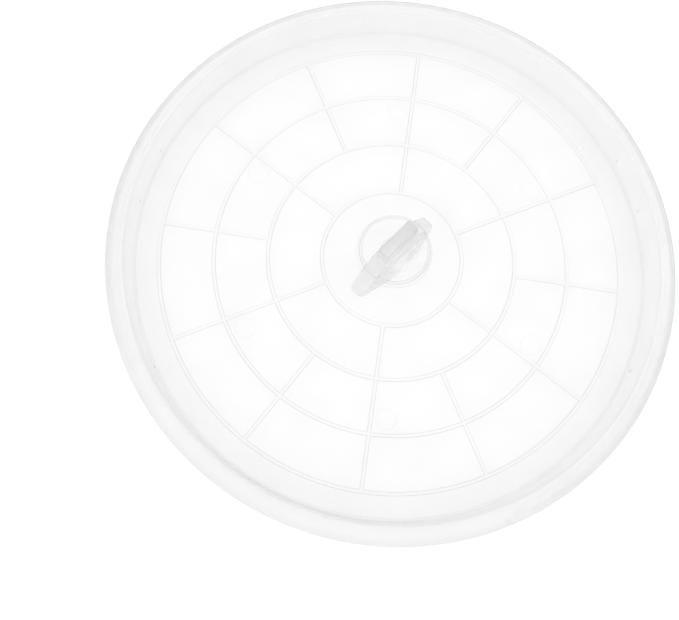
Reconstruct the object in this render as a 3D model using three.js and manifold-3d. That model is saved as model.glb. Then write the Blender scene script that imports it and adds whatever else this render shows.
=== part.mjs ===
// Vented cover lid of a round stacking food dehydrator: a shallow dish-shaped
// cover with a ribbed floor, an upright wall, a rounded crest and an outer skirt,
// and a vent knob that turns at its centre and shuts or opens two ports.
// Units are millimetres, +Z is up. The origin is on the lid's axis, at the
// underside of the floor. +X runs through the two vent ports and, with the
// knob shut, along the knob's grip.
import * as THREE from 'three';
import { mergeVertices } from 'three/addons/utils/BufferGeometryUtils.js';
import Module from 'manifold-3d';

// ---------------------------------------------------------------- lid cover
const SEG = 84;              // facets around the big moulding
const FLOOR_T = 1.5;         // floor thickness
const RIB_TOP = 2.3;         // ring ribs stand 0.8 above the floor
const RIB_HALF = 1.0;        // half width of a ring rib at its foot
const RIB_CROWN = 0.62;      // half width of a ring rib at its top
const RING_RIBS = [38, 67, 96, 125];
const SPOKE_TOP = 2.22;      // radial ribs finish just under the ring ribs
const SPOKE_W = 1.9;
const SPOKE_OUT = 125;
const SPOKE_LONG_IN = 38;    // six spokes start at the first ring
const SPOKE_SHORT_IN = 67;   // six start at the second ring
const SPOKE_PHASE = -23.6;   // azimuth of one long spoke, degrees from +X
const WALL_FOOT_R = 137.2;   // inner corner of floor and wall
const CREST_R = 140.1;
const CREST_Z = 21.3;
const SKIRT_R = 150;         // outer edge of the skirt
const SKIRT_Z = 15.0;

// ------------------------------------------------- centre boss and ports
const BOSS_R = 7.8;
const BOSS_TOP = 5.5;
const ROOF_UNDER = 4.0;
const POCKET_R = 6.5;
const STEM_HOLE_R = 4.0;
const PORT_IN = 15.6;        // radial start of each vent port
const PORT_OUT = 24.6;
const PORT_W = 4.8;
const KEY_R0 = 4.9;          // stop key on the boss's roof
const KEY_R1 = 6.7;
const KEY_TOP = 6.7;
const KEY_AZ = 90;
const KEY_HALF = 10;

// ---------------------------------------------------------------- vent knob
const KNOB_SEG = 48;
const DISC_R = 17.4;         // flat of the splash disc
const BEAD_R = 18.3;         // crest of the bead around it
const LIP_R = 20.5;          // outer edge of its turned-down lip
const LIP_FOOT = 12.2;
const DISC_UNDER = 13.4;
const DISC_TOP = 14.6;
const BEAD_TOP = 15.4;
const FIN_L = 23.4;
const FIN_T = 7.0;
const FIN_R = 1.3;
const FIN_TOP = 32;
const WING_TIP_R = 28.7;
const WING_FOOT = 1.9;       // 0.4 above the lid's floor
const WING_TIP_TOP = 5.0;      // wings slope from the grip down to this
const WING_TOP = 21.5;       // height of the wings beside the grip
const HUB_R = 7.4;
const HUB_FOOT = 5.9;        // 0.4 above the boss's roof
const STEM_R = 3.6;
const STEM_BORE_R = 2.1;
const STEM_FOOT = 0.6;
const GROOVE_R = 2.9;
const GROOVE_LO = 2.0;
const GROOVE_HI = 3.9;

// ----------------------------------------------------------- stem retainer
const RING_IN = 3.25;
const RING_OUT = 6.0;
const RING_LO = 2.35;
const RING_HI = 3.55;

const rad = (d) => (d * Math.PI) / 180;

const wasm = await Module();
wasm.setup();

// closed geometry to solid and back
function solid(geometry) {
  const g = geometry.clone();
  g.deleteAttribute('normal');
  g.deleteAttribute('uv');
  const m = mergeVertices(g, 1e-4);
  const vertProperties = new Float32Array(m.attributes.position.array);
  const triVerts = new Uint32Array(m.index.array);
  let s = new wasm.Manifold(new wasm.Mesh({ numProp: 3, vertProperties, triVerts }));
  if (s.volume() < 0) {
    for (let i = 0; i < triVerts.length; i += 3) {
      const t = triVerts[i]; triVerts[i] = triVerts[i + 1]; triVerts[i + 1] = t;
    }
    s = new wasm.Manifold(new wasm.Mesh({ numProp: 3, vertProperties, triVerts }));
  }
  return s;
}
function geometry(s) {
  const m = s.getMesh();
  const g = new THREE.BufferGeometry();
  const n = m.numProp;
  const p = new Float32Array((m.vertProperties.length / n) * 3);
  for (let i = 0; i < p.length / 3; i++) {
    for (let k = 0; k < 3; k++) p[3 * i + k] = m.vertProperties[n * i + k];
  }
  g.setAttribute('position', new THREE.BufferAttribute(p, 3));
  g.setIndex(new THREE.BufferAttribute(new Uint32Array(m.triVerts), 1));
  g.computeVertexNormals();
  return g;
}
// body of revolution about Z from (radius, height) pairs; a ring section closes on itself
function revolve(points, segments) {
  const pts = points.map(([r, z]) => new THREE.Vector2(Math.max(r, 0), z));
  const g = new THREE.LatheGeometry(pts, segments);
  g.rotateX(Math.PI / 2);
  return solid(g);
}
function ring(points, segments) {
  return revolve([...points, points[0]], segments);
}
function extrude(shape, z0, z1, bevel = 0) {
  const g = new THREE.ExtrudeGeometry(shape, {
    depth: z1 - z0 - 2 * bevel, bevelEnabled: bevel > 0, bevelSize: bevel,
    bevelThickness: bevel, bevelOffset: -bevel, bevelSegments: 2, curveSegments: 8,
  });
  g.translate(0, 0, z0 + bevel);
  return g;
}
function roundedRect(lx, ly, r) {
  const s = new THREE.Shape();
  const a = lx / 2, b = ly / 2;
  s.moveTo(-a + r, -b);
  s.lineTo(a - r, -b);
  s.absarc(a - r, -b + r, r, -Math.PI / 2, 0, false);
  s.absarc(a - r, b - r, r, 0, Math.PI / 2, false);
  s.absarc(-a + r, b - r, r, Math.PI / 2, Math.PI, false);
  s.absarc(-a + r, -b + r, r, Math.PI, 1.5 * Math.PI, false);
  return s;
}
function polygon(points) {
  const s = new THREE.Shape();
  points.forEach(([x, y], i) => (i ? s.lineTo(x, y) : s.moveTo(x, y)));
  s.closePath();
  return s;
}
// flat sector between two radii and two azimuths
function sector(r0, r1, a0, a1, z0, z1, steps = 10) {
  const pts = [];
  for (let i = 0; i <= steps; i++) {
    const a = rad(a0 + ((a1 - a0) * i) / steps);
    pts.push([r1 * Math.cos(a), r1 * Math.sin(a)]);
  }
  for (let i = steps; i >= 0; i--) {
    const a = rad(a0 + ((a1 - a0) * i) / steps);
    pts.push([r0 * Math.cos(a), r0 * Math.sin(a)]);
  }
  return solid(extrude(polygon(pts), z0, z1));
}

// -------------------------------------------------------------- lid cover
function lidCover() {
  const p = [];
  // pocket under the boss, then the flat underside
  p.push([STEM_HOLE_R, ROOF_UNDER], [POCKET_R, ROOF_UNDER], [POCKET_R, 0]);
  // outer foot of the wall, the wall's outer face, the underside of the crest and skirt
  p.push([WALL_FOOT_R - 0.2, 0], [WALL_FOOT_R + 0.9, 0.35], [WALL_FOOT_R + 1.5, 1.4]);
  p.push([CREST_R + 0.35, CREST_Z - 3.2], [CREST_R + 0.9, CREST_Z - 2.35], [CREST_R + 1.7, CREST_Z - 2.35]);
  p.push([SKIRT_R - 0.5, SKIRT_Z - 1.25], [SKIRT_R, SKIRT_Z - 0.95], [SKIRT_R, SKIRT_Z - 0.1]);
  // top of the skirt, rounded crest, inner face of the wall
  p.push([SKIRT_R - 0.3, SKIRT_Z + 0.15], [CREST_R + 1.4, CREST_Z - 0.75], [CREST_R + 0.45, CREST_Z - 0.1]);
  p.push([CREST_R - 0.35, CREST_Z], [CREST_R - 1.0, CREST_Z - 0.6], [CREST_R - 1.2, CREST_Z - 1.6]);
  p.push([WALL_FOOT_R + 0.2, FLOOR_T + 0.6], [WALL_FOOT_R - 0.6, FLOOR_T]);
  // floor with its ring ribs, going inwards
  for (const r of [...RING_RIBS].reverse()) {
    p.push([r + RIB_HALF, FLOOR_T], [r + RIB_CROWN, RIB_TOP], [r - RIB_CROWN, RIB_TOP], [r - RIB_HALF, FLOOR_T]);
  }
  // boss
  p.push([BOSS_R + 0.7, FLOOR_T], [BOSS_R, FLOOR_T + 0.8], [BOSS_R - 0.2, BOSS_TOP - 0.5], [BOSS_R - 0.7, BOSS_TOP]);
  p.push([STEM_HOLE_R, BOSS_TOP]);
  let body = ring(p, SEG);
  // radial ribs
  for (let k = 0; k < 12; k++) {
    const long = k % 2 === 0;
    const r0 = long ? SPOKE_LONG_IN : SPOKE_SHORT_IN;
    const g = new THREE.BoxGeometry(SPOKE_OUT - r0, SPOKE_W, SPOKE_TOP - FLOOR_T + 0.5);
    g.translate((SPOKE_OUT + r0) / 2, 0, (SPOKE_TOP + FLOOR_T - 0.5) / 2);
    g.rotateZ(rad(SPOKE_PHASE + 30 * k));
    body = body.add(solid(g));
  }
  // stop key on the boss's roof
  body = body.add(sector(KEY_R0, KEY_R1, KEY_AZ - KEY_HALF, KEY_AZ + KEY_HALF, BOSS_TOP - 0.4, KEY_TOP, 4));
  // vent ports through the floor
  for (const sx of [1, -1]) {
    const g = extrude(roundedRect(PORT_OUT - PORT_IN, PORT_W, PORT_W / 2 - 0.05), -1, FLOOR_T + 1);
    g.translate((sx * (PORT_OUT + PORT_IN)) / 2, 0, 0);
    body = body.subtract(solid(g));
  }
  return body;
}

// -------------------------------------------------------------- vent knob
function ventKnob() {
  // plan of the wings: a bar that narrows to a chamfered tip at each end
  const half = [[0, 8.4], [9, 8.2], [12.5, 7.8], [16, 7.1], [21, 5.6], [25.6, 4.6], [27.4, 4.0], [WING_TIP_R, 2.6]];
  const plan = [];
  for (const [x, y] of half) plan.push([x, -y]);
  for (const [x, y] of [...half].reverse()) plan.push([x, y]);
  for (const [x, y] of half.slice(1)) plan.push([-x, y]);
  for (const [x, y] of [...half].reverse().slice(0, -1)) plan.push([-x, -y]);
  const wingsG = extrude(polygon(plan), WING_FOOT, FIN_TOP - 8);
  // the flanks lean in, so the bar is widest at its foot
  const pos = wingsG.attributes.position;
  for (let i = 0; i < pos.count; i++) {
    const t = (pos.getZ(i) - WING_FOOT) / (FIN_TOP - 8 - WING_FOOT);
    pos.setY(i, pos.getY(i) * (1 - 0.58 * t));
  }
  const flanks = solid(wingsG);
  // side view of the wings: high beside the grip, sloping down to the tips
  const side = [
    [0, WING_FOOT], [WING_TIP_R - 0.5, WING_FOOT], [WING_TIP_R, WING_FOOT + 0.5], [WING_TIP_R, WING_TIP_TOP - 0.9],
    [WING_TIP_R - 0.9, WING_TIP_TOP], [23.2, 9.8], [18.2, 16.0], [14.6, 19.8], [12.6, 21.2], [10.5, WING_TOP], [0, WING_TOP],
  ];
  const sideFull = [...side, ...[...side].reverse().slice(1, -1).map(([x, z]) => [-x, z])];
  const sg = extrude(polygon(sideFull), -10, 10);
  sg.rotateX(Math.PI / 2);
  let body = flanks.intersect(solid(sg));
  // room for the boss under the bar
  body = body.subtract(revolve([
    [0, WING_FOOT - 1], [BOSS_R + 1.3, WING_FOOT - 1], [BOSS_R + 1.3, FLOOR_T + 1.3], [BOSS_R + 0.6, FLOOR_T + 2.2],
    [BOSS_R + 0.6, HUB_FOOT], [0, HUB_FOOT],
  ], KNOB_SEG));
  // grip fin
  body = body.add(solid(extrude(roundedRect(FIN_L, FIN_T, FIN_R), DISC_UNDER + 0.2, FIN_TOP, 0.5)));
  // splash disc with its bead and turned-down lip, hub and stem, all one revolved body
  body = body.add(revolve([
    [0, STEM_FOOT], [STEM_R - 0.6, STEM_FOOT], [STEM_R, STEM_FOOT + 0.9], [STEM_R, GROOVE_LO], [GROOVE_R, GROOVE_LO],
    [GROOVE_R, GROOVE_HI], [STEM_R, GROOVE_HI], [STEM_R, HUB_FOOT], [HUB_R, HUB_FOOT], [HUB_R, DISC_UNDER - 0.8],
    [HUB_R + 0.8, DISC_UNDER], [BEAD_R, DISC_UNDER], [LIP_R - 0.7, LIP_FOOT], [LIP_R - 0.15, LIP_FOOT + 0.1],
    [LIP_R, LIP_FOOT + 0.6], [BEAD_R + 0.7, DISC_TOP], [BEAD_R + 0.3, BEAD_TOP - 0.15], [BEAD_R - 0.3, BEAD_TOP], [BEAD_R - 0.9, BEAD_TOP - 0.25],
    [DISC_R - 0.3, DISC_TOP], [0, DISC_TOP],
  ], KNOB_SEG));
  // blind bore up the stem
  body = body.subtract(revolve([
    [0, STEM_FOOT - 1], [STEM_BORE_R, STEM_FOOT - 1], [STEM_BORE_R, STEM_FOOT + 11.6],
    [STEM_BORE_R - 0.4, STEM_FOOT + 12.6], [0, STEM_FOOT + 13],
  ], 24));
  // track of the stop key
  body = body.subtract(sector(KEY_R0 - 0.4, KEY_R1 + 0.4, KEY_AZ - 90 - KEY_HALF - 2.5, KEY_AZ + KEY_HALF + 2.5,
    HUB_FOOT - 0.5, KEY_TOP + 0.5, 16));
  return body;
}

function stemRetainer() {
  return ring([
    [RING_IN, RING_LO + 0.25], [RING_IN + 0.25, RING_LO], [RING_OUT - 0.25, RING_LO], [RING_OUT, RING_LO + 0.25],
    [RING_OUT, RING_HI - 0.25], [RING_OUT - 0.25, RING_HI], [RING_IN + 0.25, RING_HI], [RING_IN, RING_HI - 0.25],
  ], 36);
}

const milky = { roughness: 0.32, metalness: 0, transparent: true, opacity: 0.35 };
const lidMaterial = new THREE.MeshStandardMaterial({ color: 0xf3f3f1, ...milky });
const knobMaterial = new THREE.MeshStandardMaterial({ color: 0xe8e8e6, ...milky, opacity: 0.6 });
const ringMaterial = new THREE.MeshStandardMaterial({ color: 0xececea, ...milky, opacity: 0.5 });

const group = new THREE.Group();
function add(name, s, material, parent = group) {
  const mesh = new THREE.Mesh(geometry(s), material);
  mesh.name = name;
  parent.add(mesh);
  return mesh;
}
add('lid_cover', lidCover(), lidMaterial);
const turning = new THREE.Group();
group.add(turning);
add('vent_knob', ventKnob(), knobMaterial, turning);
add('stem_retainer', stemRetainer(), ringMaterial, turning);

export default group;
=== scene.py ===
import math

import bmesh
import bpy
import numpy as np
from mathutils import Matrix, Vector


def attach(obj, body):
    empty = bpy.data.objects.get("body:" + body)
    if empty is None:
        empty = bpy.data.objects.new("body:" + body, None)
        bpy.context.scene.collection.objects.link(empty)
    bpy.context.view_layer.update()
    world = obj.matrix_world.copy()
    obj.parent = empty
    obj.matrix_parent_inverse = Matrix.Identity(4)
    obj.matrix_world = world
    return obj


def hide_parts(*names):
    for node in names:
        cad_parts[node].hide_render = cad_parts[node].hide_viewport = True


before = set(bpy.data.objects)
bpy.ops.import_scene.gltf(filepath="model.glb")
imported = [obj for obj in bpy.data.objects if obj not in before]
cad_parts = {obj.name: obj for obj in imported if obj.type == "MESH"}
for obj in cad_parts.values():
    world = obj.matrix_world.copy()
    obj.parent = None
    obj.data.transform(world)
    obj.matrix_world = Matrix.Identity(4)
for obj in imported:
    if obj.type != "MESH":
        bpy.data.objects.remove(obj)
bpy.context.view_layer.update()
MM = 0.001

# ---------------------------------------------------------------- dimensions, millimetres
FLOOR_T = 1.5
RIB_H = 0.8
SPOKE_H = 0.74
RING_RIBS = (38.0, 67.0, 96.0, 125.0)
SPOKE_OUT = 125.0
SPOKE_IN = (38.0, 67.0)          # long and short spokes
SPOKE_PHASE = -23.6
WALL_FOOT_R = 137.2
CREST_R = 140.1
CREST_Z = 21.3
SKIRT_R = 150.0
SKIRT_Z = 15.0
BOSS_R, BOSS_TOP, ROOF_UNDER, POCKET_R, HOLE_R = 7.8, 5.5, 4.0, 6.5, 4.0
PORT_IN, PORT_OUT, PORT_W = 15.6, 24.6, 4.8
KEY_R0, KEY_R1, KEY_TOP, KEY_AZ, KEY_HALF = 4.9, 6.7, 6.7, 90.0, 10.0
MARK_R, MARK_AZ, MARK_RAD = 87.5, 5.2, 5.5     # round ejector marks beside the long spokes
PIP_AZ = (-34.5, -21.5, 110.5, 123.5, -72.6, 161.6)
NUB_AZ, NUB_R = -114.5, 149.0                # gate nub on the skirt's edge
PIP_Z, PIP_WALL_R = 10.0, 137.9

BEAD_R, LIP_R, DISC_R = 18.3, 20.5, 17.4
LIP_FOOT, DISC_UNDER, DISC_TOP, BEAD_TOP = 12.2, 13.4, 14.6, 15.4
FIN_L, FIN_T, FIN_R, FIN_TOP = 23.4, 7.0, 1.3, 32.0
WING_TIP_R, WING_FOOT, WING_TIP_TOP, WING_TOP = 28.7, 1.9, 5.0, 21.5
HUB_R, HUB_FOOT = 7.4, 5.9
STEM_R, STEM_BORE_R, STEM_FOOT = 3.6, 2.1, 0.6
GROOVE_R, GROOVE_LO, GROOVE_HI = 2.9, 2.0, 3.9
RING_IN, RING_OUT, RING_LO, RING_HI = 3.25, 6.0, 2.35, 3.55


# ---------------------------------------------------------------- mesh helpers
def new_object(name, verts, faces):
    me = bpy.data.meshes.new(name)
    me.from_pydata([tuple(v) for v in verts], [], faces)
    me.validate()
    bm = bmesh.new()
    bm.from_mesh(me)
    bmesh.ops.recalc_face_normals(bm, faces=bm.faces)
    bm.to_mesh(me)
    bm.free()
    ob = bpy.data.objects.new(name, me)
    bpy.context.scene.collection.objects.link(ob)
    return ob


def smooth_by_angle(ob, degrees=32):
    ob.data.shade_smooth()
    ob.data.set_sharp_from_angle(angle=math.radians(degrees))


def fillet(points, closed=False, steps=5):
    """(x, y, radius) corners to a polyline with round corners."""
    out = []
    n = len(points)
    for i, (x, y, r) in enumerate(points):
        if r <= 0 or (not closed and i in (0, n - 1)):
            out.append((x, y))
            continue
        p = np.array([x, y])
        a = np.array(points[i - 1][:2]) - p
        b = np.array(points[(i + 1) % n][:2]) - p
        la, lb = np.linalg.norm(a), np.linalg.norm(b)
        a, b = a / la, b / lb
        half = math.acos(max(-1, min(1, float(a @ b)))) / 2
        t = min(r / math.tan(half), 0.49 * la, 0.49 * lb)
        r = t * math.tan(half)
        c = p + (a + b) / np.linalg.norm(a + b) * r / math.sin(half)
        s, e = p + a * t - c, p + b * t - c
        a0 = math.atan2(s[1], s[0])
        d = math.atan2(e[1], e[0]) - a0
        d = (d + math.pi) % (2 * math.pi) - math.pi
        for k in range(steps + 1):
            g = a0 + d * k / steps
            out.append((c[0] + r * math.cos(g), c[1] + r * math.sin(g)))
    return out


def split_long(path, longest):
    out = []
    for (x0, y0), (x1, y1) in zip(path[:-1], path[1:]):
        n = max(1, math.ceil(math.hypot(x1 - x0, y1 - y0) / longest))
        for k in range(n):
            out.append((x0 + (x1 - x0) * k / n, y0 + (y1 - y0) * k / n))
    out.append(path[-1])
    return out


def revolve(name, path, segments=128, ring=False):
    """Closed body of revolution about Z. A path that starts and ends on the axis is capped there; a ring closes on itself."""
    verts, faces, rows = [], [], []
    for r, z in path:
        if r < 1e-6:
            rows.append([len(verts)])
            verts.append((0, 0, z * MM))
        else:
            rows.append(list(range(len(verts), len(verts) + segments)))
            for k in range(segments):
                a = 2 * math.pi * k / segments
                verts.append((r * math.cos(a) * MM, r * math.sin(a) * MM, z * MM))
    pairs = list(zip(rows[:-1], rows[1:]))
    if ring:
        pairs.append((rows[-1], rows[0]))
    for a, b in pairs:
        for k in range(segments):
            j = (k + 1) % segments
            if len(a) == 1 and len(b) == 1:
                continue
            if len(a) == 1:
                faces.append((a[0], b[j], b[k]))
            elif len(b) == 1:
                faces.append((a[k], a[j], b[0]))
            else:
                faces.append((a[k], a[j], b[j], b[k]))
    return new_object(name, verts, faces)


def loft(name, sections):
    """Closed body through sections of equal point counts, capped at both ends."""
    n = len(sections[0])
    verts = [tuple(c * MM for c in p) for s in sections for p in s]
    faces = []
    for i in range(len(sections) - 1):
        for k in range(n):
            j = (k + 1) % n
            faces.append((i * n + k, i * n + j, (i + 1) * n + j, (i + 1) * n + k))
    faces.append(tuple(range(n))[::-1])
    faces.append(tuple(range((len(sections) - 1) * n, len(sections) * n)))
    return new_object(name, verts, faces)


def boolean(ob, other, operation, solver="EXACT"):
    m = ob.modifiers.new("b", "BOOLEAN")
    m.operation, m.object, m.solver = operation, other, solver
    deps = bpy.context.evaluated_depsgraph_get()
    me = bpy.data.meshes.new_from_object(ob.evaluated_get(deps))
    ob.modifiers.clear()
    ob.data = me
    bpy.data.objects.remove(other)
    return ob


def merged(obs):
    """One object of several that don't touch."""
    bm = bmesh.new()
    for o in obs:
        bm.from_mesh(o.data)
    bm.to_mesh(obs[0].data)
    bm.free()
    for o in obs[1:]:
        bpy.data.objects.remove(o)
    return obs[0]


def rounded_rect(lx, ly, r, steps=8):
    return fillet([(-lx / 2, -ly / 2, r), (lx / 2, -ly / 2, r), (lx / 2, ly / 2, r), (-lx / 2, ly / 2, r)], closed=True, steps=steps)


def smoothstep(a, b, x):
    t = np.clip((x - a) / (b - a), 0, 1)
    return t * t * (3 - 2 * t)


def rib_section(x, crown=0.70, foot=1.14):
    """Height share of a moulded rib at distance x from its middle: flat crown, steep drafted flank, small fillets."""
    return 1 - smoothstep(crown, foot, np.abs(x))


# ---------------------------------------------------------------- lid cover
def lid_columns():
    """Per column: the spoke it belongs to, its kind and its parameter. Columns run parallel to each spoke beside it, and radially between."""
    near = [-1.5, -1.18, -1.10, -1.02, -0.93, -0.84, -0.75, -0.66, -0.5, 0, 0.5, 0.66, 0.75, 0.84, 0.93, 1.02, 1.10, 1.18, 1.5]
    edge = math.degrees(math.asin(1.5 / MARK_R))
    cols = []
    for k in range(12):
        for d in near:
            cols.append((k, "near", d))
        az = np.linspace(edge, 30 - edge, 16)[1:-1]
        for a in az:
            cols.append((k, "open", (a - edge) / (30 - 2 * edge)))
    return cols


COLS = lid_columns()


def column_angles(r):
    rr = max(r, 36.0)
    edge = math.asin(1.5 / rr)
    out = np.empty(len(COLS))
    for i, (k, kind, t) in enumerate(COLS):
        base = math.radians(SPOKE_PHASE + 30 * k)
        out[i] = base + (math.asin(t / rr) if kind == "near" else edge + t * (math.radians(30) - 2 * edge))
    return out


def floor_height(r, ang):
    """Top of the ribbed floor."""
    h = np.zeros_like(ang)
    for R in RING_RIBS:
        h = np.maximum(h, RIB_H * rib_section(r - R))
    rel = (np.degrees(ang) - SPOKE_PHASE) % 360
    k = np.round(rel / 30).astype(int) % 12
    d = r * np.sin(np.radians(rel - np.round(rel / 30) * 30))
    inner = np.where(k % 2 == 0, SPOKE_IN[0], SPOKE_IN[1])
    window = smoothstep(inner - 0.45, inner + 0.25, r) * (1 - smoothstep(SPOKE_OUT - 0.25, SPOKE_OUT + 0.45, r))
    h = np.maximum(h, SPOKE_H * rib_section(d, 0.66, 1.10) * window)
    return FLOOR_T + h


def build_lid():
    # outside of the section, from the stem hole under the floor and round the rim to the floor's top
    path = fillet([
        (HOLE_R, BOSS_TOP, 0), (HOLE_R, ROOF_UNDER, 0.25), (POCKET_R, ROOF_UNDER, 0.5), (POCKET_R, 0, 0.3),
        (WALL_FOOT_R + 1.35, 0, 1.5), (CREST_R + 0.5, CREST_Z - 2.3, 1.0), (CREST_R + 1.75, CREST_Z - 2.15, 0.5),
        (SKIRT_R - 0.45, SKIRT_Z - 1.25, 0.3), (SKIRT_R, SKIRT_Z - 1.0, 0.25), (SKIRT_R, SKIRT_Z + 0.1, 0.35),
        (CREST_R + 0.3, CREST_Z + 0.15, 1.9), (CREST_R - 1.25, CREST_Z + 0.1, 1.0), (WALL_FOOT_R - 0.1, FLOOR_T, 0.8),
        (WALL_FOOT_R - 1.6, FLOOR_T, 0),
    ], steps=7)
    path = split_long(path, 6.0)
    rows = [(r, z, False) for r, z in path]
    rr = []
    last = WALL_FOOT_R - 1.6
    marks = [1.5, 1.22, 1.14, 1.06, 0.97, 0.88, 0.79, 0.70, 0.5, 0, -0.5, -0.70, -0.79, -0.88, -0.97, -1.06, -1.14, -1.22, -1.5]
    for R in reversed(RING_RIBS):
        lo = R + 1.5
        gap = [lo]
        n = max(1, round((last - lo) / 4.0))
        gap = list(np.linspace(last, lo, n + 1)[1:-1])
        rr += gap + [R + m for m in marks]
        last = R - 1.5
    rr += list(np.linspace(last, BOSS_R + 1.6, 10)[1:])
    rows += [(r, None, True) for r in rr]
    boss = fillet([(BOSS_R + 1.6, FLOOR_T, 0), (BOSS_R + 0.15, FLOOR_T, 0.9), (BOSS_R - 0.15, BOSS_TOP, 0.6), (HOLE_R, BOSS_TOP, 0)], steps=5)
    rows += [(r, z, False) for r, z in boss[1:-1]]
    n = len(COLS)
    verts = np.empty((len(rows), n, 3))
    for i, (r, z, top) in enumerate(rows):
        ang = column_angles(r)
        verts[i, :, 0] = r * np.cos(ang)
        verts[i, :, 1] = r * np.sin(ang)
        verts[i, :, 2] = floor_height(r, ang) if top else z
    faces = []
    m = len(rows)
    for i in range(m):
        a, b = i * n, ((i + 1) % m) * n
        for j in range(n):
            q = (j + 1) % n
            faces.append((a + j, a + q, b + q, b + j))
    ob = new_object("lid_cover_moulding", verts.reshape(-1, 3) * MM, faces)
    # vent ports
    for sx in (1, -1):
        out = rounded_rect(PORT_OUT - PORT_IN, PORT_W, PORT_W / 2 - 0.02)
        cx = sx * (PORT_OUT + PORT_IN) / 2
        cut = loft("cut", [[(x + cx, y, z) for x, y in out] for z in (-1.0, 3.0)])
        boolean(ob, cut, "DIFFERENCE")
    # round ejector marks: a hair-line groove in the floor's top
    grooves = []
    for m in range(6):
        a = math.radians(SPOKE_PHASE + 60 * m + MARK_AZ)
        groove = revolve("groove", [(MARK_RAD - 0.6, 2.0), (MARK_RAD + 0.6, 2.0), (MARK_RAD + 0.15, FLOOR_T - 0.22), (MARK_RAD - 0.15, FLOOR_T - 0.22)], 64, ring=True)
        groove.data.transform(Matrix.Translation((MARK_R * math.cos(a) * MM, MARK_R * math.sin(a) * MM, 0)))
        grooves.append(groove)
    boolean(ob, merged(grooves), "DIFFERENCE")
    # small pips half-way up the inside of the wall
    pips = []
    for az in PIP_AZ:
        a = math.radians(az)
        r = PIP_WALL_R + 0.3
        pip = revolve("pip", [(0, PIP_Z - 0.95), (0.55, PIP_Z - 0.8), (0.85, PIP_Z - 0.42), (0.95, PIP_Z), (0.85, PIP_Z + 0.42), (0.55, PIP_Z + 0.8), (0, PIP_Z + 0.95)], 20)
        pip.data.transform(Matrix.Translation((r * math.cos(a) * MM, r * math.sin(a) * MM, 0)))
        pips.append(pip)
    a = math.radians(NUB_AZ)
    nub = revolve("nub", [(0, SKIRT_Z - 0.5), (0.75, SKIRT_Z - 0.45), (0.75, SKIRT_Z + 0.75), (0.5, SKIRT_Z + 1.0), (0, SKIRT_Z + 1.05)], 20)
    nub.data.transform(Matrix.Translation((NUB_R * math.cos(a) * MM, NUB_R * math.sin(a) * MM, 0)))
    pips.append(nub)
    boolean(ob, merged(pips), "UNION")
    # stop key on the boss's roof
    a0, a1 = KEY_AZ - KEY_HALF, KEY_AZ + KEY_HALF
    ring = [(KEY_R1 * math.cos(math.radians(a)), KEY_R1 * math.sin(math.radians(a))) for a in np.linspace(a0, a1, 9)]
    ring += [(KEY_R0 * math.cos(math.radians(a)), KEY_R0 * math.sin(math.radians(a))) for a in np.linspace(a1, a0, 9)]
    key = loft("key", [[(x, y, z) for x, y in ring] for z in (BOSS_TOP - 0.4, KEY_TOP)])
    boolean(ob, key, "UNION")
    smooth_by_angle(ob, 35)
    store_edge_shade(ob, lid_edge_shade_paint)
    return ob


def bump_at(x, middle, half):
    """1 at the middle, falling smoothly to 0 at half to either side."""
    return smoothstep(0, 1, 1 - np.abs(x - middle) / half)


def store_edge_shade(ob, share):
    """Store how much of an edge each vertex is, as painted shade: moulded edges are drawn darker than flat walls."""
    n = len(ob.data.vertices)
    co = np.empty(n * 3, dtype=np.float32)
    ob.data.vertices.foreach_get("co", co)
    v = np.clip(share(co.reshape(n, 3) / MM), 0, 1).astype(np.float32)
    layer = ob.data.attributes.new("edge", "FLOAT", "POINT")
    layer.data.foreach_set("value", v)


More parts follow.
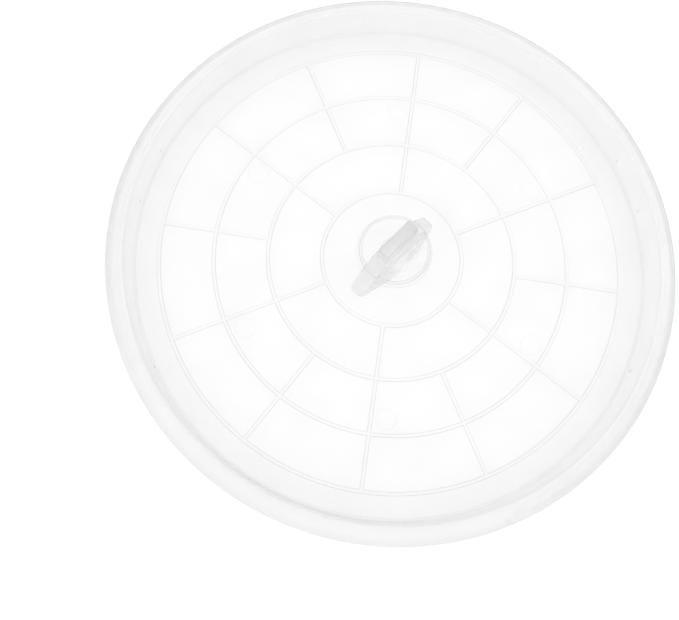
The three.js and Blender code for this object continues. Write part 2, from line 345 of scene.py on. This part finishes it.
def lid_edge_shade_paint(co):
    # painted shade: rib flanks, the wall foot, the crest, the skirt edge, the pips, the nub and the ejector grooves are
    # darkened
    x, y, z = co.T
    r, ang = np.hypot(x, y), np.arctan2(y, x)
    out = np.zeros(len(r))
    flank = lambda s: np.clip(4 * s * (1 - s), 0, 1)
    for R in RING_RIBS:
        out = np.maximum(out, flank(rib_section(r - R)))
    rel = (np.degrees(ang) - SPOKE_PHASE) % 360
    k = np.round(rel / 30).astype(int) % 12
    d = r * np.sin(np.radians(rel - np.round(rel / 30) * 30))
    inner = np.where(k % 2 == 0, SPOKE_IN[0], SPOKE_IN[1])
    on = (r > inner + 0.6) & (r < SPOKE_OUT - 0.6)
    spoke = np.where(on, flank(rib_section(d, 0.66, 1.10)), 0)
    crown = np.where(on & (np.abs(d) < 0.66), 1.0, 0.0)
    ring_near = np.min([np.abs(r - R) for R in RING_RIBS], axis=0)
    out = np.where(crown > 0, out * (ring_near > 0.5) * 0.15, out)
    out = np.maximum(out, spoke * (ring_near > 0.8))
    out = np.where(z > FLOOR_T + 0.02, out, 0)
    for m in range(6):
        a = math.radians(SPOKE_PHASE + 60 * m + MARK_AZ)
        q = np.hypot(x - MARK_R * math.cos(a), y - MARK_R * math.sin(a))
        out = np.maximum(out, np.where((np.abs(q - MARK_RAD) < 0.35) & (z < FLOOR_T - 0.05) & (z > 1), 0.45, 0))
    top = z > FLOOR_T - 0.3
    out = np.maximum(out, np.where(top & (z < 4), 0.3 * bump_at(r, WALL_FOOT_R - 0.2, 1.0), 0))
    out = np.maximum(out, np.where(z > CREST_Z - 2.0, 0.6 * bump_at(r, CREST_R - 0.5, 0.9), 0))
    out = np.maximum(out, np.where(r > 145, 0.5 * smoothstep(SKIRT_R - 1.0, SKIRT_R - 0.4, r), 0))
    for az in PIP_AZ:
        a = math.radians(az)
        q = np.sqrt((x - PIP_WALL_R * math.cos(a)) ** 2 + (y - PIP_WALL_R * math.sin(a)) ** 2 + (z - PIP_Z) ** 2)
        stands = WALL_FOOT_R - 0.1 + (z - FLOOR_T) * (CREST_R - 1.15 - WALL_FOOT_R) / (CREST_Z - FLOOR_T) - r
        out = np.maximum(out, np.where(q < 1.4, smoothstep(0.1, 0.35, stands), 0))
    a = math.radians(NUB_AZ)
    q = np.hypot(x - NUB_R * math.cos(a), y - NUB_R * math.sin(a))
    return np.maximum(out, np.where((q < 0.8) & (z > SKIRT_Z + 0.7), 1.0, 0))


def mark_knob(ob):
    """Per face: bar is 1 on the thick, milky grip and wings and 0 on the thin disc, hub and stem; edge is how much
    painted edge shade the face gets, on the bead, the grip's top edge and the lip's foot.
    """
    me = ob.data
    bar = np.zeros(len(me.polygons), dtype=np.float32)
    edge = np.zeros(len(me.polygons), dtype=np.float32)
    for i, f in enumerate(me.polygons):
        c = f.center / MM
        r = math.hypot(c.x, c.y)
        bead = abs(r - BEAD_R) < 1.35 and DISC_UNDER - 1 < c.z < BEAD_TOP + 0.1
        over = c.z > DISC_TOP + 0.1 and not bead
        across = abs(f.normal.x * c.x + f.normal.y * c.y) < 0.93 * r and abs(f.normal.z) < 0.5
        wing = r > HUB_R + 0.1 and (across or c.z < DISC_UNDER - 0.95)
        under = c.z < DISC_UNDER - 0.15 and (wing or r > HUB_R + 1.1) and (r < BEAD_R + 0.2 or c.z < LIP_FOOT - 0.2 or r > LIP_R + 0.1)
        bar[i] = 1.0 if over or under or r > LIP_R + 0.1 else 0.0
        if c.z > DISC_TOP + 0.05 and bead:
            edge[i] = 0.5 + 0.5 * float(bump_at(np.array(r), BEAD_R, 1.1))
        if FIN_TOP - 0.92 < c.z < FIN_TOP - 0.03:
            edge[i] = 0.4
        if LIP_FOOT - 0.3 < c.z < LIP_FOOT + 0.8 and LIP_R - 0.6 < r < LIP_R + 0.05:
            edge[i] = 0.35
    me.attributes.new("bar", "FLOAT", "FACE").data.foreach_set("value", bar)
    me.attributes.new("edge", "FLOAT", "FACE").data.foreach_set("value", edge)


# ---------------------------------------------------------------- vent knob
def wing_half(x):
    return float(np.interp(abs(x), [0, 9, 12.5, 16, 21, 25.6, 27.2, WING_TIP_R], [8.4, 8.2, 7.8, 7.1, 5.6, 4.6, 4.05, 3.1]))


def wing_top(x):
    return float(np.interp(abs(x), [0, 10.5, 12.6, 14.6, 18.2, 23.2, 27.8, WING_TIP_R], [WING_TOP, WING_TOP, 21.2, 19.8, 16.0, 9.8, WING_TIP_TOP, WING_TIP_TOP - 0.4]))


def build_knob():
    # wings: sections across the bar
    xs = [-WING_TIP_R, -WING_TIP_R + 0.12, -WING_TIP_R + 0.4, -WING_TIP_R + 0.8]
    xs += list(np.linspace(-WING_TIP_R + 1.3, WING_TIP_R - 1.3, 81))
    xs += [WING_TIP_R - 0.8, WING_TIP_R - 0.4, WING_TIP_R - 0.12, WING_TIP_R]
    sections = []
    for x in xs:
        t = (WING_TIP_R - abs(x)) / 0.9
        inset = 0.9 * (1 - math.sqrt(max(0.0, 1 - (1 - t) ** 2))) if t < 1 else 0.0
        top = wing_top(x) - inset * 0.9
        lean = 1 - 0.58 * (top - WING_FOOT) / (FIN_TOP - 8 - WING_FOOT)
        hw, ht = wing_half(x) - inset, (wing_half(x) - inset) * lean
        z0 = WING_FOOT + inset * 0.5
        sec = fillet([(-hw, z0, 0.35), (hw, z0, 0.35), (ht, top, 0.8), (-ht, top, 0.8)], closed=True, steps=5)
        sections.append([(x, y, z) for y, z in sec])
    body = loft("vent_knob_moulding", sections)
    room = revolve("room", fillet([
        (0, WING_FOOT - 1, 0), (BOSS_R + 1.3, WING_FOOT - 1, 0), (BOSS_R + 1.3, FLOOR_T + 1.3, 0.4), (BOSS_R + 0.6, FLOOR_T + 2.2, 0.4),
        (BOSS_R + 0.6, HUB_FOOT, 0.3), (0, HUB_FOOT, 0),
    ]), 96)
    boolean(body, room, "DIFFERENCE")
    # grip fin: rounded outline, slight draft, rounded top edge
    secs = []
    for z, grow in [(DISC_UNDER + 0.3, 0.16), (18, 0.1), (22, 0.05), (FIN_TOP - 0.9, 0.0)]:
        secs.append((z, grow))
    for k in range(1, 7):
        a = math.pi / 2 * k / 6
        secs.append((FIN_TOP - 0.9 + 0.9 * math.sin(a), -0.9 * (1 - math.cos(a))))
    fin = loft("fin", [[(x, y, z) for x, y in rounded_rect(FIN_L + 2 * g, FIN_T + 2 * g, max(FIN_R + g, 0.6), 10)] for z, g in secs])
    boolean(body, fin, "UNION")
    disc = revolve("disc", fillet([
        (0, STEM_FOOT, 0), (STEM_R - 0.7, STEM_FOOT, 0.2), (STEM_R, STEM_FOOT + 1.0, 0.3), (STEM_R, GROOVE_LO, 0.1), (GROOVE_R, GROOVE_LO, 0.1),
        (GROOVE_R, GROOVE_HI, 0.1), (STEM_R, GROOVE_HI, 0.1), (STEM_R, HUB_FOOT, 0.3), (HUB_R, HUB_FOOT, 0.5), (HUB_R, DISC_UNDER, 0.9),
        (BEAD_R, DISC_UNDER, 0.8), (LIP_R - 0.9, LIP_FOOT, 0.3), (LIP_R, LIP_FOOT + 0.25, 0.4), (BEAD_R + 0.9, DISC_TOP - 0.2, 0.6),
        (BEAD_R + 0.45, BEAD_TOP + 0.05, 0.5), (BEAD_R - 0.55, BEAD_TOP + 0.05, 0.5), (BEAD_R - 1.15, DISC_TOP, 0.35), (0, DISC_TOP, 0),
    ]), 144)
    boolean(body, disc, "UNION")
    bore = revolve("bore", fillet([(0, -1, 0), (STEM_BORE_R, -1, 0), (STEM_BORE_R, STEM_FOOT + 12.4, 1.2), (0, STEM_FOOT + 12.4, 0)]), 64)
    boolean(body, bore, "DIFFERENCE")
    a0, a1 = KEY_AZ - 90 - KEY_HALF - 2.5, KEY_AZ + KEY_HALF + 2.5
    ring = [((KEY_R1 + 0.4) * math.cos(math.radians(a)), (KEY_R1 + 0.4) * math.sin(math.radians(a))) for a in np.linspace(a0, a1, 33)]
    ring += [((KEY_R0 - 0.4) * math.cos(math.radians(a)), (KEY_R0 - 0.4) * math.sin(math.radians(a))) for a in np.linspace(a1, a0, 33)]
    track = loft("track", [[(x, y, z) for x, y in ring] for z in (HUB_FOOT - 0.5, KEY_TOP + 0.5)])
    boolean(body, track, "DIFFERENCE")
    smooth_by_angle(body, 30)
    mark_knob(body)
    return body


def build_retainer():
    ob = revolve("stem_retainer_ring", fillet([
        (RING_IN, RING_LO, 0.25), (RING_OUT, RING_LO, 0.25), (RING_OUT, RING_HI, 0.25), (RING_IN, RING_HI, 0.25),
    ], closed=True), 96, ring=True)
    smooth_by_angle(ob, 40)
    return ob


# ---------------------------------------------------------------- materials
def node(nt, kind, **values):
    n = nt.nodes.new(kind)
    for k, v in values.items():
        if k in n.inputs:
            n.inputs[k].default_value = v
        else:
            setattr(n, k, v)
    return n


def ranged(nt, value, lo, hi, a, b, smooth=True):
    r = node(nt, "ShaderNodeMapRange")
    if smooth:
        r.interpolation_type = "SMOOTHSTEP"
    r.inputs["From Min"].default_value, r.inputs["From Max"].default_value = lo, hi
    r.inputs["To Min"].default_value, r.inputs["To Max"].default_value = a, b
    nt.links.new(value, r.inputs["Value"])
    return r.outputs[0]


def multiply(nt, a, b):
    m = node(nt, "ShaderNodeMix", data_type="RGBA", blend_type="MULTIPLY")
    m.inputs["Factor"].default_value = 1.0
    nt.links.new(a, m.inputs["A"])
    nt.links.new(b, m.inputs["B"])
    return m.outputs["Result"]


def grey_mix(nt, factor, a, b):
    m = node(nt, "ShaderNodeMix", data_type="RGBA")
    nt.links.new(factor, m.inputs["Factor"])
    m.inputs["A"].default_value = (a, a, a, 1)
    m.inputs["B"].default_value = (b, b, b, 1)
    return m.outputs["Result"]


def plastic(name, tint, haze, absorb, grain, milk, straight, grazing, film, edge, rim=None, bar=None):
    """Milky-clear polypropylene. A share of the light goes straight through the cloudy wall, the rest is bent and
    blurred; the volume takes light by depth.
    milk is the share that scatters back, straight the share that isn't bent and grazing how much of that is left at a
    glance, film what each face passes of it, edge what a moulded edge passes, which paints shade on the edges, rim a
    list of (radius, film) that paints shade on the wall and skirt, bar (milk, straight, grey low, grey high) for the
    thick part of the knob, grey low to grey high greying the grip towards its top, partly the plastic's tone and partly
    painted shade."""
    m = bpy.data.materials.new(name)
    m.use_nodes = True
    nt = m.node_tree
    nt.nodes.clear()
    out = node(nt, "ShaderNodeOutputMaterial")
    p = node(nt, "ShaderNodeBsdfPrincipled")
    p.inputs["Transmission Weight"].default_value = 1.0 - milk
    p.inputs["IOR"].default_value = 1.49
    path = node(nt, "ShaderNodeLightPath")
    either = node(nt, "ShaderNodeMath", operation="MAXIMUM")
    nt.links.new(path.outputs["Is Shadow Ray"], either.inputs[0])
    nt.links.new(path.outputs["Is Diffuse Ray"], either.inputs[1])
    lw = node(nt, "ShaderNodeLayerWeight", Blend=0.5)
    share = node(nt, "ShaderNodeMath", operation="MAXIMUM")
    nt.links.new(either.outputs[0], share.inputs[0])
    unbent = ranged(nt, lw.outputs["Facing"], 0.55, 1.0, straight, straight * grazing)
    co = node(nt, "ShaderNodeTexCoord")
    if bar:
        part = node(nt, "ShaderNodeAttribute", attribute_name="bar").outputs["Fac"]
        # painted shadow: the grip's soft shadow on the disc beside one flank, drawn as milkier, greyer plastic
        xyz = node(nt, "ShaderNodeSeparateXYZ")
        nt.links.new(co.outputs["Object"], xyz.inputs[0])
        across = ranged(nt, xyz.outputs["Y"], -14.5 * MM, -3.0 * MM, 0.0, 0.65)
        length = node(nt, "ShaderNodeMath", operation="ABSOLUTE")
        nt.links.new(xyz.outputs["X"], length.inputs[0])
        along = ranged(nt, length.outputs[0], 8.0 * MM, 17.0 * MM, 1.0, 0.0)
        side = ranged(nt, xyz.outputs["Y"], 2.0 * MM, 3.6 * MM, 1.0, 0.0)
        low = ranged(nt, xyz.outputs["Z"], (DISC_UNDER - 0.3) * MM, (DISC_UNDER + 0.3) * MM, 0.0, 1.0)
        painted_grip_shadow = across
        for other in (along, side, low):
            prod = node(nt, "ShaderNodeMath", operation="MULTIPLY")
            nt.links.new(painted_grip_shadow, prod.inputs[0])
            nt.links.new(other, prod.inputs[1])
            painted_grip_shadow = prod.outputs[0]
        top = node(nt, "ShaderNodeMath", operation="MAXIMUM")
        nt.links.new(part, top.inputs[0])
        nt.links.new(painted_grip_shadow, top.inputs[1])
        part = top.outputs[0]
        pick = node(nt, "ShaderNodeMix", data_type="FLOAT")
        nt.links.new(part, pick.inputs["Factor"])
        nt.links.new(unbent, pick.inputs["A"])
        pick.inputs["B"].default_value = bar[1]
        unbent = pick.outputs["Result"]
        nt.links.new(ranged(nt, part, 0.0, 1.0, 1.0 - milk, 1.0 - bar[0], False), p.inputs["Transmission Weight"])
    nt.links.new(unbent, share.inputs[1])
    clear = node(nt, "ShaderNodeBsdfTransparent")
    through = node(nt, "ShaderNodeMixShader")
    nt.links.new(share.outputs[0], through.inputs[0])
    nt.links.new(p.outputs[0], through.inputs[1])
    nt.links.new(clear.outputs[0], through.inputs[2])
    nt.links.new(through.outputs[0], out.inputs["Surface"])
    vol = node(nt, "ShaderNodeVolumeAbsorption")
    vol.inputs["Color"].default_value = (*absorb[0], 1)
    vol.inputs["Density"].default_value = absorb[1]
    nt.links.new(vol.outputs[0], out.inputs["Volume"])
    # soft clouding from the melt's flow, in the tint of both shares
    flow = node(nt, "ShaderNodeTexNoise", Scale=38.0, Detail=4.0, Roughness=0.55)
    nt.links.new(co.outputs["Object"], flow.inputs["Vector"])
    cloudy = ranged(nt, flow.outputs["Fac"], 0.35, 0.68, 0.0, 1.0)
    mix = node(nt, "ShaderNodeMix", data_type="RGBA")
    nt.links.new(cloudy, mix.inputs["Factor"])
    mix.inputs["A"].default_value = (*tint[0], 1)
    mix.inputs["B"].default_value = (*tint[1], 1)
    colour = mix.outputs["Result"]
    if bar:
        # the grip is greyed towards its top, partly the plastic's tone and partly painted shade
        height = ranged(nt, xyz.outputs["Z"], (WING_TOP - 3) * MM, (WING_TOP + 3) * MM, 0.0, 1.0)
        grey = node(nt, "ShaderNodeMix", data_type="RGBA")
        nt.links.new(part, grey.inputs["Factor"])
        nt.links.new(colour, grey.inputs["A"])
        nt.links.new(multiply(nt, colour, grey_mix(nt, height, bar[2], bar[3])), grey.inputs["B"])
        colour = grey.outputs["Result"]
    film_out = grey_mix(nt, cloudy, film + 0.002, film - 0.003)
    if rim:
        # painted shade: the wall and skirt pass less light than the floor, stepped by radius
        flat = node(nt, "ShaderNodeVectorMath", operation="MULTIPLY")
        nt.links.new(co.outputs["Object"], flat.inputs[0])
        flat.inputs[1].default_value = (1, 1, 0)
        far = node(nt, "ShaderNodeVectorMath", operation="LENGTH")
        nt.links.new(flat.outputs[0], far.inputs[0])
        ramp = node(nt, "ShaderNodeValToRGB")
        nt.links.new(ranged(nt, far.outputs["Value"], 0.1, SKIRT_R * MM, 0.0, 1.0, False), ramp.inputs[0])
        while len(ramp.color_ramp.elements) < len(rim):
            ramp.color_ramp.elements.new(0.5)
        for e, (r, f) in zip(ramp.color_ramp.elements, rim):
            e.position = (r * MM - 0.1) / (SKIRT_R * MM - 0.1)
            e.color = (f, f, f, 1)
        film_out = multiply(nt, film_out, ramp.outputs[0])
    # painted shade: moulded edges are darkened, most of all the steep ones seen at a glance
    marks = node(nt, "ShaderNodeAttribute", attribute_name="edge")
    steep = node(nt, "ShaderNodeMath", operation="MULTIPLY")
    nt.links.new(marks.outputs["Fac"], steep.inputs[0])
    nt.links.new(ranged(nt, lw.outputs["Facing"], 0.12, 0.6, 0.2, 1.0), steep.inputs[1])
    painted_edge_darkening = grey_mix(nt, steep.outputs[0], 1.0, edge)
    film_out = multiply(nt, film_out, painted_edge_darkening)
    nt.links.new(multiply(nt, colour, grey_mix(nt, marks.outputs["Fac"], 1.0, 0.5 + edge / 2)), p.inputs["Base Color"])
    nt.links.new(film_out, clear.inputs["Color"])
    cloud = node(nt, "ShaderNodeTexNoise", Scale=120.0, Detail=6.0, Roughness=0.6)
    nt.links.new(co.outputs["Object"], cloud.inputs["Vector"])
    nt.links.new(ranged(nt, cloud.outputs["Fac"], 0.3, 0.7, haze[0], haze[1]), p.inputs["Roughness"])
    fine = node(nt, "ShaderNodeTexNoise", Scale=900.0, Detail=3.0, Roughness=0.5)
    nt.links.new(co.outputs["Object"], fine.inputs["Vector"])
    bump = node(nt, "ShaderNodeBump", Strength=grain, Distance=0.00008)
    nt.links.new(fine.outputs["Fac"], bump.inputs["Height"])
    nt.links.new(bump.outputs[0], p.inputs["Normal"])
    return m


# edge and rim paint shade on the lid's moulded edges, wall and skirt
LID_MAT = plastic("milky_lid_plastic", ((0.998, 0.998, 0.996), (0.985, 0.986, 0.985)), (0.03, 0.08), ((0.55, 0.55, 0.56), 20.0), 0.12,
                  milk=0.02, straight=0.88, grazing=0.97, film=0.998, edge=0.70,
                  rim=[(125.6, 1.0), (126.8, 0.994), (136.6, 0.992), (137.6, 0.987), (139.6, 0.987), (140.6, 0.974), (149.9, 0.976)])
KNOB_MAT = plastic("milky_knob_plastic", ((0.985, 0.985, 0.983), (0.965, 0.965, 0.963)), (0.31, 0.42), ((0.55, 0.55, 0.56), 10.0), 0.15,
                   milk=0.15, straight=0.94, grazing=0.97, film=0.997, edge=0.72, bar=(0.92, 0.5, 0.78, 0.67))

lid = build_lid()
print("lid triangles", sum(len(f.vertices) - 2 for f in lid.data.polygons))
knob = build_knob()
retainer = build_retainer()
for ob, mat, node_name, slot_name, body in (
    (lid, LID_MAT, "lid_cover", "clear_lid_plastic", "lid"),
    (knob, KNOB_MAT, "vent_knob", "milky_knob_plastic", "knob"),
    (retainer, KNOB_MAT, "stem_retainer", "milky_knob_plastic", "knob"),
):
    ob.data.materials.clear()
    ob.data.materials.append(mat)
    for f in ob.data.polygons:
        f.material_index = 0
    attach(ob, body)
    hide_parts(node_name)
    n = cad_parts[node_name]
    n.data.materials.clear()
    n.data.materials.append(mat)

# ---------------------------------------------------------------- floor, light, camera
TURN = math.radians(-45.5)
fm = bpy.data.materials.new("pale_floor")
fm.use_nodes = True
nt = fm.node_tree
p = nt.nodes["Principled BSDF"]
p.inputs["Roughness"].default_value = 0.9
p.inputs["Specular IOR Level"].default_value = 0.1
spk = node(nt, "ShaderNodeTexNoise", Scale=3.0, Detail=2.0)
mx = node(nt, "ShaderNodeMix", data_type="RGBA")
nt.links.new(spk.outputs["Fac"], mx.inputs["Factor"])
mx.inputs["A"].default_value = (0.9, 0.9, 0.9, 1)
mx.inputs["B"].default_value = (0.905, 0.905, 0.905, 1)
nt.links.new(mx.outputs["Result"], p.inputs["Base Color"])
me = bpy.data.meshes.new("floor")
me.from_pydata([(-6, -6, -0.0005), (6, -6, -0.0005), (6, 6, -0.0005), (-6, 6, -0.0005)], [], [(0, 1, 2, 3)])
floor = bpy.data.objects.new("floor", me)
me.materials.append(fm)
bpy.context.scene.collection.objects.link(floor)

world = bpy.data.worlds.new("studio")
bpy.context.scene.world = world
world.use_nodes = True
wn = world.node_tree
wn.nodes.clear()
wo = node(wn, "ShaderNodeOutputWorld")
bg = node(wn, "ShaderNodeBackground")
wn.links.new(bg.outputs[0], wo.inputs["Surface"])
# a large soft box overhead, on the viewer's side of the zenith, in a dimmer room
tc = node(wn, "ShaderNodeTexCoord")
toward = node(wn, "ShaderNodeVectorMath", operation="DOT_PRODUCT")
wn.links.new(tc.outputs["Generated"], toward.inputs[0])
BOX = Matrix.Rotation(TURN, 3, "Z") @ Vector((-0.08, -0.2, 0.977)).normalized()
toward.inputs[1].default_value = BOX
wr = node(wn, "ShaderNodeMapRange")
wr.interpolation_type = "SMOOTHSTEP"
wr.inputs["From Min"].default_value, wr.inputs["From Max"].default_value = 0.2, 0.8
wr.inputs["To Min"].default_value, wr.inputs["To Max"].default_value = 0.88, 1.27
wn.links.new(toward.outputs["Value"], wr.inputs["Value"])
lp = node(wn, "ShaderNodeLightPath")
seen = node(wn, "ShaderNodeMix", data_type="FLOAT")
wn.links.new(lp.outputs["Is Camera Ray"], seen.inputs["Factor"])
wn.links.new(wr.outputs["Result"], seen.inputs["A"])
seen.inputs["B"].default_value = 1.0
wn.links.new(seen.outputs["Result"], bg.inputs["Strength"])
bg.inputs["Color"].default_value = (1, 1, 1, 1)

eye = Matrix.Rotation(TURN, 4, "Z") @ Vector((-0.0496, -0.1364, 0.4110))
right = Matrix.Rotation(TURN, 4, "Z") @ Vector((0.99868, 0.0, 0.0513))
up = Matrix.Rotation(TURN, 4, "Z") @ Vector((-0.01287, 0.968, 0.2506))
back = Matrix.Rotation(TURN, 4, "Z") @ Vector((-0.04966, -0.25093, 0.96672))
cam = bpy.data.cameras.new("camera")
cam.sensor_width = 36.0
cam.lens = 42.465
cam.clip_start = 0.01
camera = bpy.data.objects.new("camera", cam)
bpy.context.scene.collection.objects.link(camera)
eye = eye + Vector((0, 0, 0.0018))
camera.matrix_world = Matrix((
    (right.x, up.x, back.x, eye.x), (right.y, up.y, back.y, eye.y), (right.z, up.z, back.z, eye.z), (0, 0, 0, 1),
))
bpy.context.scene.camera = camera
bpy.context.scene.view_settings.view_transform = "Standard"
bpy.context.scene.cycles.max_bounces = 20
bpy.context.scene.cycles.transmission_bounces = 20
bpy.context.scene.cycles.transparent_max_bounces = 32
